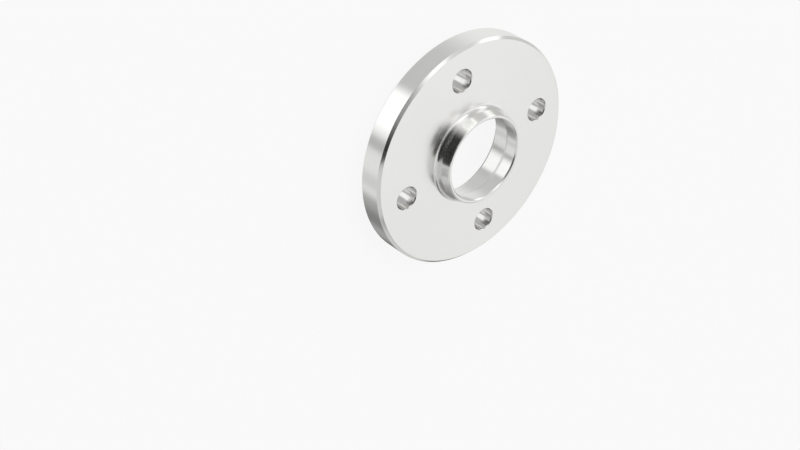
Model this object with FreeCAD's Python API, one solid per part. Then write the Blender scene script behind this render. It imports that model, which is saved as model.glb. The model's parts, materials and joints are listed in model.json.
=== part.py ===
import FreeCAD, Part
import math
import os

# Hub-centric wheel spacer, turned from one piece of aluminium.
# Millimetres. The origin is the centre of the back face, and +Z points
# along the wheel axis towards the collar, so the spacer lies on its back.

# Disc
disc_diameter = 138.0
disc_thickness = 15.0
front_edge_chamfer = 1.5
back_edge_chamfer = 1.0

# Stud holes
stud_count = 4
stud_circle_diameter = 100.0
stud_hole_diameter = 13.5
stud_hole_chamfer = 0.5

# Collar that centres the wheel
collar_diameter = 56.1
collar_height = 9.5
collar_wall = 3.5
collar_root_radius = 2.0
lead_in_length = 4.5
lead_in_angle = 15.0
collar_edge_chamfer = 0.5
mouth_chamfer = 0.7

# Recess in the back that sits over the hub
hub_recess_diameter = 56.1
hub_recess_chamfer = 3.5
front_web = 2.4
shoulder_rise = 1.9

UP = FreeCAD.Vector(0, 0, 1)
ORIGIN = FreeCAD.Vector(0, 0, 0)


def point(radius, height):
    """A point of the turned section, in the XZ plane."""
    return FreeCAD.Vector(radius, 0, height)


def lathe(edges):
    """One full turn of a closed section about the wheel axis."""
    face = Part.Face(Part.Wire(edges))
    return face.revolve(ORIGIN, UP, 360)


def runs(points):
    """Straight edges from each point to the next."""
    return [Part.LineSegment(a, b).toShape() for a, b in zip(points, points[1:])]


def root_fillet(wall_radius):
    """Arc that joins the front face to the collar wall."""
    start = point(wall_radius + collar_root_radius, disc_thickness)
    end = point(wall_radius, disc_thickness + collar_root_radius)
    reach = collar_root_radius * (1 - math.sqrt(0.5))
    middle = point(wall_radius + reach, disc_thickness + reach)
    return Part.Arc(start, middle, end).toShape()


def turned_body():
    """The disc, its collar and the stepped bore, as one turned section."""
    rim_radius = disc_diameter / 2
    wall_radius = collar_diameter / 2
    bore_radius = wall_radius - collar_wall
    recess_radius = hub_recess_diameter / 2
    top = disc_thickness + collar_height
    seat_top = top - collar_edge_chamfer - lead_in_length
    lead_in_radius = wall_radius - lead_in_length * math.tan(math.radians(lead_in_angle))

    rim = runs([
        point(recess_radius + hub_recess_chamfer, 0),
        point(rim_radius - back_edge_chamfer, 0),
        point(rim_radius, back_edge_chamfer),
        point(rim_radius, disc_thickness - front_edge_chamfer),
        point(rim_radius - front_edge_chamfer, disc_thickness),
        point(wall_radius + collar_root_radius, disc_thickness),
    ])
    collar = runs([
        point(wall_radius, disc_thickness + collar_root_radius),
        point(wall_radius, seat_top),
        point(lead_in_radius, top - collar_edge_chamfer),
        point(lead_in_radius - collar_edge_chamfer, top),
        point(bore_radius + mouth_chamfer, top),
        point(bore_radius, top - mouth_chamfer),
    ])
    bore = runs([
        point(bore_radius, top - mouth_chamfer),
        point(bore_radius, disc_thickness + shoulder_rise),
        point(recess_radius, disc_thickness - front_web),
        point(recess_radius, hub_recess_chamfer),
        point(recess_radius + hub_recess_chamfer, 0),
    ])
    return lathe(rim + [root_fillet(wall_radius)] + collar + bore)


def stud_drill():
    """The space of one stud hole, chamfered at both faces, on the wheel axis."""
    radius = stud_hole_diameter / 2
    wide = radius + stud_hole_chamfer
    outline = [
        point(0, 0),
        point(wide, 0),
        point(radius, stud_hole_chamfer),
        point(radius, disc_thickness - stud_hole_chamfer),
        point(wide, disc_thickness),
        point(0, disc_thickness),
        point(0, 0),
    ]
    return lathe(runs(outline))


def stud_drills():
    """One drill for each stud, evenly round the stud circle from +X."""
    drills = []
    for number in range(stud_count):
        drill = stud_drill()
        drill.translate(FreeCAD.Vector(stud_circle_diameter / 2, 0, 0))
        drill.rotate(ORIGIN, UP, 360.0 * number / stud_count)
        drills.append(drill)
    return drills


def wheel_spacer():
    """The finished spacer, as one solid."""
    drilled = turned_body().cut(stud_drills())
    return drilled.Solids[0]


os.makedirs("parts", exist_ok=True)
spacer = wheel_spacer()
spacer.exportStep("parts/wheel_spacer.step")
print("wheel_spacer volume", round(spacer.Volume / 1000, 1), "cm3, valid", spacer.isValid())
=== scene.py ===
import json
import math

import bmesh
import bpy
from mathutils import Matrix, Vector


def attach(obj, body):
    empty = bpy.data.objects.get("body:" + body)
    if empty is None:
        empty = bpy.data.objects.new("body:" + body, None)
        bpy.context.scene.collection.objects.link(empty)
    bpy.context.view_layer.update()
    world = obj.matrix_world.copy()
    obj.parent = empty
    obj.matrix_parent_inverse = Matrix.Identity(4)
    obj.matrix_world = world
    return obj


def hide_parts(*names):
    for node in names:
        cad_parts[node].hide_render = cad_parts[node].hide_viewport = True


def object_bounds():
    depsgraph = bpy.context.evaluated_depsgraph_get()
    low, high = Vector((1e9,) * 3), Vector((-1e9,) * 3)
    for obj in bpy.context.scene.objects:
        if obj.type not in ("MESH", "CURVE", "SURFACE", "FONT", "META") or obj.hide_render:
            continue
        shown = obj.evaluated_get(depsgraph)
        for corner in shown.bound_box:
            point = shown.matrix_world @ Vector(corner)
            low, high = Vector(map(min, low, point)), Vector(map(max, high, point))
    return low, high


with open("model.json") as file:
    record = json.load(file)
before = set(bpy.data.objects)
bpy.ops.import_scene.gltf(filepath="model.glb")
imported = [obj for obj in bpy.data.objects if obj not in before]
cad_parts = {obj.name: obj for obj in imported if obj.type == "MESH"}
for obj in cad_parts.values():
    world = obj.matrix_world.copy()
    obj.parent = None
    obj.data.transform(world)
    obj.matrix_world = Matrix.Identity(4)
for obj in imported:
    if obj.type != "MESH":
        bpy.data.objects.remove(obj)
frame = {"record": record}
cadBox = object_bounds()
mounts = {mount["name"]: mount for mount in frame["record"]["mounts"]}
mm = 0.001
print("frame loaded, box", [round(side / mm, 1) for side in cadBox[1] - cadBox[0]], "mm")


# Spacer body

spacer = {
    "frontEdgeChamfer": 1.5 * mm,
    "backEdgeChamfer": 1.0 * mm,
    "holeChamfer": 0.5 * mm,
    "collarRootRadius": 2.0 * mm,
    "collarRootSteps": 8,
    "leadInLength": 4.5 * mm,
    "leadInAngle": 15.0,            # degrees off the wheel axis
    "collarEdgeChamfer": 0.5 * mm,
    "mouthChamfer": 0.7 * mm,
    "recessChamfer": 3.5 * mm,
    "frontWeb": 2.4 * mm,           # how far the recess's straight wall ends below the front face
    "shoulderRise": 1.9 * mm,       # how far the shoulder inside the bore ends above that face
    "edgeBreak": 0.12 * mm,         # the tiny round that deburring leaves on every machined edge
    "edgeBreakSteps": 2,
    "cornerAngle": 14.0,            # degrees: edges that turn more than this get the edge break
    "turnSteps": 256,               # steps of a full turn, a multiple of 4
    "windowSteps": 16,              # turn steps that each stud hole's square window spans
    "windowHalf": 9.6 * mm,         # half of that window across the radius
    "mouthPull": 1.0 * mm,          # how far a hole's mouth is moved while it is joined
    "seamGap": 0.001 * mm,          # points closer than this are one
    "flatWeight": 100,              # how far large faces set the normals, out of 100
}

discSkin, drilledSkinAndShade, collarSkin = range(3)    # the order of the finishes on the body

rimRadius = cadBox[1].x
topHeight = cadBox[1].z
wallRadius = mounts["wheel_collar"]["dims"]["r_mm"] * mm
boreRadius = mounts["front_bore"]["dims"]["r_mm"] * mm
recessRadius = mounts["hub_recess"]["dims"]["r_mm"] * mm
studCircleRadius = mounts["stud_holes"]["dims"]["pcd_mm"] / 2 * mm
studHoleRadius = mounts["stud_holes"]["dims"]["hole_r_mm"] * mm
studCount = mounts["stud_holes"]["dims"]["count"]
faceHeight = mounts["wheel_face"]["pos_m"][2]


def windowRadii():
    # the rings across a stud hole's window, from the inside out
    count = spacer["windowSteps"]
    inner = studCircleRadius - spacer["windowHalf"]
    step = 2 * spacer["windowHalf"] / count
    return [inner + step * number for number in range(count + 1)]


def turnedSection():
    # the closed half section as (radius, height), once round from the back face
    size = spacer
    rings = windowRadii()
    edgeTop = topHeight - size["collarEdgeChamfer"]
    leadInDrop = size["leadInLength"] * math.tan(math.radians(size["leadInAngle"]))
    leadInRadius = wallRadius - leadInDrop
    mouthRadius = recessRadius + size["recessChamfer"]
    back = [(mouthRadius, 0)] + [(radius, 0) for radius in rings]
    rim = [
        (rimRadius - size["backEdgeChamfer"], 0),
        (rimRadius, size["backEdgeChamfer"]),
        (rimRadius, faceHeight - size["frontEdgeChamfer"]),
        (rimRadius - size["frontEdgeChamfer"], faceHeight),
    ]
    front = [(radius, faceHeight) for radius in reversed(rings)]
    root = []
    for number in range(size["collarRootSteps"] + 1):
        turn = math.pi / 2 * number / size["collarRootSteps"]
        root.append((
            wallRadius + size["collarRootRadius"] * (1 - math.sin(turn)),
            faceHeight + size["collarRootRadius"] * (1 - math.cos(turn)),
        ))
    collar = [
        (wallRadius, edgeTop - size["leadInLength"]),
        (leadInRadius, edgeTop),
        (leadInRadius - size["collarEdgeChamfer"], topHeight),
        (boreRadius + size["mouthChamfer"], topHeight),
        (boreRadius, topHeight - size["mouthChamfer"]),
    ]
    bore = [
        (boreRadius, faceHeight + size["shoulderRise"]),
        (recessRadius, faceHeight - size["frontWeb"]),
        (recessRadius, size["recessChamfer"]),
    ]
    return back + rim + front + root + collar + bore


def turnBody(bm):
    # one full turn of the section about the wheel axis
    points = [bm.verts.new((radius, 0, height)) for radius, height in turnedSection()]
    edges = [bm.edges.new(pair) for pair in zip(points, points[1:] + points[:1])]
    bmesh.ops.spin(
        bm,
        geom=points + edges,
        cent=(0, 0, 0),
        axis=(0, 0, 1),
        angle=2 * math.pi,
        steps=spacer["turnSteps"],
        use_merge=True,
    )
    bmesh.ops.remove_doubles(bm, verts=bm.verts, dist=spacer["seamGap"])
    bmesh.ops.recalc_face_normals(bm, faces=bm.faces)


def cutWindow(bm, angle, height):
    # takes a square patch out of a flat face round one stud hole and returns the edges left open
    halfTurn = math.pi * spacer["windowSteps"] / spacer["turnSteps"]
    patch = []
    for face in bm.faces:
        middle = face.calc_center_median()
        if abs(middle.z - height) > spacer["seamGap"]:
            continue
        off = (math.atan2(middle.y, middle.x) - angle + math.pi) % (2 * math.pi) - math.pi
        across = math.hypot(middle.x, middle.y) - studCircleRadius
        if abs(off) < halfTurn and abs(across) < spacer["windowHalf"]:
            patch.append(face)
    bmesh.ops.delete(bm, geom=patch, context="FACES")
    return [edge for edge in bm.edges if edge.is_boundary]


def joinMouth(bm, window, mouth, verts, pull):
    # joins a window to a hole's mouth; the mouth is pulled out of the face meanwhile, so that the
    # two loops can't be taken the wrong way round
    bmesh.ops.translate(bm, vec=(0, 0, pull), verts=verts)
    faces = set(bmesh.ops.bridge_loops(bm, edges=window + mouth)["faces"])
    bmesh.ops.translate(bm, vec=(0, 0, -pull), verts=verts)
    for face in faces:
        face.material_index = discSkin
    return faces


def drillHole(bm, angle):
    # a chamfered hole: a circle drawn down through the disc, joined to a window in each face
    centre = Vector((studCircleRadius * math.cos(angle), studCircleRadius * math.sin(angle), 0))
    wide = studHoleRadius + spacer["holeChamfer"]
    frontWindow = cutWindow(bm, angle, faceHeight)
    circle = bmesh.ops.create_circle(
        bm,
        segments=4 * spacer["windowSteps"],     # one for each edge of the window's four sides
        radius=wide,
        matrix=Matrix.Translation(centre + Vector((0, 0, faceHeight))),
    )
    rim = [edge for edge in bm.edges if edge.is_wire]
    known = set(bm.faces)
    known |= joinMouth(bm, frontWindow, rim, circle["verts"], -spacer["mouthPull"])
    # front chamfer, wall and back chamfer: how far each falls and how its width changes
    steps = (
        (-spacer["holeChamfer"], studHoleRadius / wide),
        (2 * spacer["holeChamfer"] - faceHeight, 1),
        (-spacer["holeChamfer"], wide / studHoleRadius),
    )
    for fall, scale in steps:
        grown = bmesh.ops.extrude_edge_only(bm, edges=rim)["geom"]
        verts = [item for item in grown if isinstance(item, bmesh.types.BMVert)]
        rim = [item for item in grown if isinstance(item, bmesh.types.BMEdge)]
        bmesh.ops.scale(bm, vec=(scale, scale, 1), space=Matrix.Translation(-centre), verts=verts)
        bmesh.ops.translate(bm, vec=(0, 0, fall), verts=verts)
        rim = [edge for edge in rim if edge.verts[0] in verts and edge.verts[1] in verts]
    # the hole walls take the drilled material, whose base colour is darkened with painted shade
    for face in set(bm.faces) - known:
        face.material_index = drilledSkinAndShade
    backWindow = [edge for edge in cutWindow(bm, angle, 0) if edge not in rim]
    joinMouth(bm, backWindow, rim, verts, spacer["mouthPull"])


def breakEdges(bm):
    # rounds every corner a little, as a file or a brush leaves it
    corner = math.radians(spacer["cornerAngle"])
    sharp = [edge for edge in bm.edges if edge.is_manifold and edge.calc_face_angle() > corner]
    bmesh.ops.bevel(
        bm,
        geom=sharp,
        offset=spacer["edgeBreak"],
        offset_type="OFFSET",
        affect="EDGES",
        segments=spacer["edgeBreakSteps"],
        profile=0.5,
        material=-1,
    )


def settleNormals(piece):
    # large faces keep their own normal, so flats stay flat and only the edge breaks bend the light
    weighted = piece.modifiers.new("Weighted Normal", "WEIGHTED_NORMAL")
    weighted.weight = spacer["flatWeight"]
    weighted.keep_sharp = False
    graph = bpy.context.evaluated_depsgraph_get()
    settled = bpy.data.meshes.new_from_object(piece.evaluated_get(graph))
    piece.modifiers.clear()
    piece.data = settled


def makeSpacer(disc, drilled, collar):
    bm = bmesh.new()
    turnBody(bm)
    collarReach = recessRadius + spacer["recessChamfer"]
    for face in bm.faces:
        if face.calc_center_median().xy.length < collarReach:
            face.material_index = collarSkin    # on the collar, its root and the whole bore
    for number in range(studCount):
        drillHole(bm, 2 * math.pi * number / studCount)
    bmesh.ops.recalc_face_normals(bm, faces=bm.faces)
    breakEdges(bm)
    for face in bm.faces:
        face.smooth = True
    mesh = bpy.data.meshes.new("spacerBody")
    bm.to_mesh(mesh)
    bm.free()
    for material in (disc, drilled, collar):
        mesh.materials.append(material)
    piece = bpy.data.objects.new("spacerBody", mesh)
    bpy.context.scene.collection.objects.link(piece)
    settleNormals(piece)
    return piece


# Node recipes

class Signal:
    # a node's output that can stand in sums, such as 1 - mask
    def __init__(self, tree, socket=None):
        self.tree = tree
        self.socket = socket

    def add(self, kind, settings=None, sockets=None, out=0):
        # a new node: its settings first, then values or links for its sockets
        node = self.tree.nodes.new(kind)
        for name, value in (settings or {}).items():
            setattr(node, name, value)
        for name, value in (sockets or {}).items():
            if isinstance(value, Signal):
                self.tree.links.new(value.socket, node.inputs[name])
            else:
                node.inputs[name].default_value = value
        return Signal(self.tree, node.outputs[out] if node.outputs else None)

    def maths(self, operation, first, second=0.0):
        return self.add("ShaderNodeMath", {"operation": operation}, {0: first, 1: second})

    def __add__(self, other):
        return self.maths("ADD", self, other)

    def __radd__(self, other):
        return self.maths("ADD", other, self)

    def __sub__(self, other):
        return self.maths("SUBTRACT", self, other)

    def __rsub__(self, other):
        return self.maths("SUBTRACT", other, self)

    def __mul__(self, other):
        return self.maths("MULTIPLY", self, other)

    def __rmul__(self, other):
        return self.maths("MULTIPLY", other, self)


whiteLight = (1, 1, 1, 1)


def newTree(owner):
    # an empty node tree, to add to
    owner.use_nodes = True
    owner.node_tree.nodes.clear()
    return Signal(owner.node_tree)


def blendColours(start, factor, low, high):
    # low where the factor is 0, high where it is 1; 6, 7 and 2 are the Mix node's colour sockets
    settings = {"data_type": "RGBA"}
    return start.add("ShaderNodeMix", settings, {0: factor, 6: low, 7: high}, out=2)


def splitPoint(start, kind):
    # x, y and z of a kind of texture coordinate
    place = start.add("ShaderNodeTexCoord", out=kind)
    split = start.add("ShaderNodeSeparateXYZ", sockets={0: place})
    return [Signal(start.tree, socket) for socket in split.socket.node.outputs]


# Aluminium

turnedFinish = {
    "light": (0.892, 0.889, 0.872, 1),
    "dark": (0.822, 0.818, 0.802, 1),
    "disc": {"roughness": 0.15, "anisotropy": 0.75},
    "collar": {"roughness": 0.18, "anisotropy": 0.94},
    "ringRoughness": 0.06,          # how much rougher the palest tone is than the darkest
    "anisotropyTurn": 0.25,         # a quarter turn: the light spreads across the rings
    "ringPitch": 1.6 * mm,
    "ringDetail": 3.0,
    "groovePitch": 0.35 * mm,
    "grooveDetail": 2.0,
    "grooveDepth": 0.004 * mm,
    "arcLength": 60 * mm,           # how far a ring runs before it changes
    "unevenness": 0.6,              # how strong the finer steps of the rings' noise are
    "patchSize": 30 * mm,
    "patchDetail": 3.0,
    "ringShare": 0.6,               # the rings' share of the tone; the rest is the patches'
}

# the hole walls' finish: its tone goes at random between dark and light with the scores and the
# chatter, and both tones are set well below the turned faces' as painted shade for the inside of the
# holes
drilledFinishAndShade = {
    "light": (0.860, 0.856, 0.840, 1),
    "dark": (0.540, 0.537, 0.525, 1),
    "roughness": 0.10,
    "toneRoughness": 0.1,           # how much rougher the palest tone is than the darkest
    "scorePitch": 0.5 * mm,
    "scoreDepth": 0.012 * mm,
    "chatterSize": 4 * mm,
    "detail": 2.0,
    "scoreShare": 0.5,              # the scores' share of the tone; the rest is the chatter's
}


def turnedPlace(start):
    # the point's distance from the wheel axis, and its x, y and z
    x, y, z = splitPoint(start, "Object")
    return start.maths("SQRT", x * x + y * y), x, y, z


def ringNoise(start, place, pitch, detail):
    # noise that follows the tool round the axis: fast across the rings and slow along them
    radius, x, y, z = place
    across = 1 / pitch
    along = 1 / turnedFinish["arcLength"]
    point = start.add("ShaderNodeCombineXYZ", sockets={
        0: radius * across,
        1: z * across,
        2: x * along,
    })
    return start.add("ShaderNodeTexNoise", {"noise_dimensions": "4D"}, {
        "Vector": point,
        "W": y * along,
        "Scale": 1.0,
        "Detail": detail,
        "Roughness": turnedFinish["unevenness"],
    })


def patchNoise(start, size, detail):
    # plain noise in patches of about this size
    point = start.add("ShaderNodeTexCoord", out="Object")
    sockets = {"Vector": point, "Scale": 1 / size, "Detail": detail}
    return start.add("ShaderNodeTexNoise", sockets=sockets)


def bumpFrom(start, height, depth):
    return start.add("ShaderNodeBump", sockets={"Strength": 1.0, "Distance": depth, "Height": height})


def turnedAluminium(part):
    finish = turnedFinish
    cut = finish[part]
    material = bpy.data.materials.new(part + "Aluminium")
    start = newTree(material)
    place = turnedPlace(start)
    rings = ringNoise(start, place, finish["ringPitch"], finish["ringDetail"])
    grooves = ringNoise(start, place, finish["groovePitch"], finish["grooveDetail"])
    patches = patchNoise(start, finish["patchSize"], finish["patchDetail"])
    tone = rings * finish["ringShare"] + patches * (1 - finish["ringShare"])
    bump = bumpFrom(start, grooves + rings, finish["grooveDepth"])
    surface = start.add("ShaderNodeBsdfPrincipled", sockets={
        "Base Color": blendColours(start, tone, finish["dark"], finish["light"]),
        "Metallic": 1.0,
        "Roughness": cut["roughness"] + finish["ringRoughness"] * tone,
        "Anisotropic": cut["anisotropy"],
        "Anisotropic Rotation": finish["anisotropyTurn"],
        "Normal": bump,
    })
    start.add("ShaderNodeOutputMaterial", sockets={"Surface": surface})
    return material


# the hole walls' material, whose base colour is darkened as painted shade for the holes
def drilledAluminium():
    finish = drilledFinishAndShade
    material = bpy.data.materials.new("drilledAluminium")
    start = newTree(material)
    depth = splitPoint(start, "Object")[2]
    scores = start.add("ShaderNodeTexNoise", {"noise_dimensions": "1D"}, {
        "W": depth,
        "Scale": 1 / finish["scorePitch"],
        "Detail": finish["detail"],
    })
    chatter = patchNoise(start, finish["chatterSize"], finish["detail"])
    tone = scores * finish["scoreShare"] + chatter * (1 - finish["scoreShare"])
    bump = bumpFrom(start, scores, finish["scoreDepth"])
    surface = start.add("ShaderNodeBsdfPrincipled", sockets={
        "Base Color": blendColours(start, tone, finish["dark"], finish["light"]),
        "Metallic": 1.0,
        "Roughness": finish["roughness"] + finish["toneRoughness"] * tone,
        "Normal": bump,
    })
    start.add("ShaderNodeOutputMaterial", sockets={"Surface": surface})
    return material


body = makeSpacer(turnedAluminium("disc"), drilledAluminium(), turnedAluminium("collar"))
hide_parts("wheel_spacer")
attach(body, "root")
print("spacer body made,", len(body.data.polygons), "faces")


# Camera

camera = {
    "azimuth": 32.23,               # degrees from +X, seen from above
    "elevation": 39.33,             # degrees above the floor
    "distance": 798.5 * mm,
    "aim": (-14.0 * mm, 57.9 * mm, 15.0 * mm),
    "roll": 123.53,                 # degrees: the photo's frame is turned against the wheel axis
    "lens": 65.15,                  # the lens and the sensor are in millimetres, as Blender has them
    "sensor": 36.0,
    "nearest": 10 * mm,
    "farthest": 50.0,               # metres
}


def makeCamera():
    azimuth = math.radians(camera["azimuth"])
    elevation = math.radians(camera["elevation"])
    back = Vector((
        math.cos(azimuth) * math.cos(elevation),
        math.sin(azimuth) * math.cos(elevation),
        math.sin(elevation),
    ))
    upright = back.to_track_quat("Z", "Y").to_matrix()
    turned = upright @ Matrix.Rotation(math.radians(camera["roll"]), 3, "Z")
    place = turned.to_4x4()
    place.translation = Vector(camera["aim"]) + back * camera["distance"]
    data = bpy.data.cameras.new("camera")
    data.lens = camera["lens"]
    data.sensor_width = camera["sensor"]
    data.clip_start = camera["nearest"]
    data.clip_end = camera["farthest"]
    viewer = bpy.data.objects.new("camera", data)
    viewer.matrix_world = place
    bpy.context.scene.collection.objects.link(viewer)
    bpy.context.scene.camera = viewer


makeCamera()


# Floor

floorSheet = {
    "half": 3.0,                    # metres from the middle to an edge
    "paper": (0.97, 0.97, 0.97, 1),
    "fill": 0.87,                   # how much of what the camera sees is plain white, not lit paper
}


def makeFloor():
    bm = bmesh.new()
    bmesh.ops.create_grid(bm, x_segments=1, y_segments=1, size=floorSheet["half"])
    mesh = bpy.data.meshes.new("floorSheet")
    bm.to_mesh(mesh)
    bm.free()
    material = bpy.data.materials.new("floorPaper")
    start = newTree(material)
    eye = start.add("ShaderNodeLightPath", out="Is Camera Ray")
    paper = start.add("ShaderNodeBsdfDiffuse", sockets={"Color": floorSheet["paper"]})
    white = start.add("ShaderNodeEmission", sockets={"Color": whiteLight, "Strength": 1.0})
    share = eye * floorSheet["fill"]
    seen = start.add("ShaderNodeMixShader", sockets={0: share, 1: paper, 2: white})
    start.add("ShaderNodeOutputMaterial", sockets={"Surface": seen})
    mesh.materials.append(material)
    sheet = bpy.data.objects.new("floorSheet", mesh)
    sheet.visible_glossy = False    # the metal sees the light tent all round instead
    sheet.visible_shadow = False
    bpy.context.scene.collection.objects.link(sheet)


makeFloor()


# Light tent

# Turns go anticlockwise from the camera's side, seen from above, and heights go up from the horizon,
# all in degrees. A panel's row holds: from turn, to turn, how soft those two sides are, from height,
# to height, how the top edge climbs with the turn, how soft top and bottom are, and the tone.
# A later panel covers an earlier one.
tent = {
    "cloth": 0.86,                  # the tone where there is no panel
    "backdrop": 0.956,              # what the camera sees past the floor, as white as the floor
    "frontSeam": 0.001,             # degrees in front over which a full count of turns starts again
    "panels": {
        "far top light": (120, 240, 60, 60, 38, 95, 0.0, 24, 0.98),
        "top gap": (150, 210, 16, 16, 64, 84, 0.0, 8, 0.25),
        "right softbox": (-65, -8, 8, 12, -15, 66, 0.0, 12, 1.20),
        "right softbox foot": (-63, -34, 8, 12, -15, 22, 0.0, 12, 1.45),
        "right gap": (-92, -66, 6, 8, -15, 66, 0.0, 12, 0.72),
        "right strip": (-113, -96, 6, 6, -15, 62, 0.0, 12, 1.35),
        "right wall": (-146, -113, 16, 6, -15, 60, 0.0, 12, 0.66),
        "back lamp": (-159, -146, 6, 6, 28, 56, 0.0, 12, 1.25),
        "dim side": (52, 165, 4, 20, -25, 60, 0.0, 12, 0.68),
        "left gap": (102, 150, 10, 10, 21, 44, 0.0, 10, 0.12),
        "camera opening": (-28, 53, 40, 4, -24, 74, 0.20, 12, 0.017),
        "opening haze": (-30, 18, 20, 50, 45, 52, 0.0, 5, 0.78),
        "low light right": (-140, -88, 20, 50, -62, -24, 0.0, 8, 0.90),
        "low grey right": (-88, -15, 50, 8, -62, -24, 0.0, 8, 0.59),
        "low white front": (-17, 26, 14, 18, -62, -24, 0.0, 6, 1.28),
        "low grey left": (33, 46, 8, 6, -62, -24, 0.0, 6, 0.50),
        "low light left": (45, 66, 6, 8, -62, -24, 0.0, 6, 0.86),
        "low dark strip": (69, 83, 10, 4, -62, -24, 0.0, 6, 0.66),
        "low grey far left": (93, 194, 8, 6, -62, -24, 0.0, 10, 0.40),
        "low dark far left": (110, 131, 14, 10, -62, -24, 0.0, 8, 0.22),
        "left foot": (152, 188, 12, 6, -62, 14, 0.0, 14, 0.17),
    },
}


def softStep(start, value, edge, soft):
    # 0 below the edge, 1 above it, with a smooth change between
    return start.add("ShaderNodeMapRange", {"interpolation_type": "SMOOTHSTEP"}, {
        "Value": value,
        "From Min": edge - soft / 2,
        "From Max": edge + soft / 2,
    })


def makeTent():
    world = bpy.data.worlds.new("lightTent")
    bpy.context.scene.world = world
    start = newTree(world)
    x, y, z = splitPoint(start, "Generated")
    viewer = bpy.context.scene.camera.location
    facing = math.atan2(viewer.y, viewer.x)
    ahead = x * math.cos(facing) + y * math.sin(facing)
    aside = y * math.cos(facing) - x * math.sin(facing)
    turn = start.maths("ARCTAN2", aside, ahead) * math.degrees(1)
    height = start.maths("ARCSINE", z) * math.degrees(1)
    leftHalf = softStep(start, turn, 0, tent["frontSeam"])
    fullTurn = turn + 360 * (1 - leftHalf)      # from 0 to 360, where turn is from -180 to 180
    tone = tent["cloth"]
    for panel in tent["panels"].values():
        first, last, softFirst, softLast, low, high, climb, softEnds, level = panel
        side = fullTurn if last > 180 else turn
        mask = softStep(start, side, first, softFirst) * (1 - softStep(start, side, last, softLast))
        mask = mask * softStep(start, height, low, softEnds)
        mask = mask * (1 - softStep(start, height - climb * turn, high, softEnds))
        tone = tone + mask * (level - tone)
    eye = start.add("ShaderNodeLightPath", out="Is Camera Ray")
    strength = tone + eye * (tent["backdrop"] - tone)
    cloth = start.add("ShaderNodeBackground", sockets={"Color": whiteLight, "Strength": strength})
    start.add("ShaderNodeOutputWorld", sockets={"Surface": cloth})


makeTent()
bpy.context.scene.view_settings.view_transform = "Standard"
print("camera, floor and light tent set")
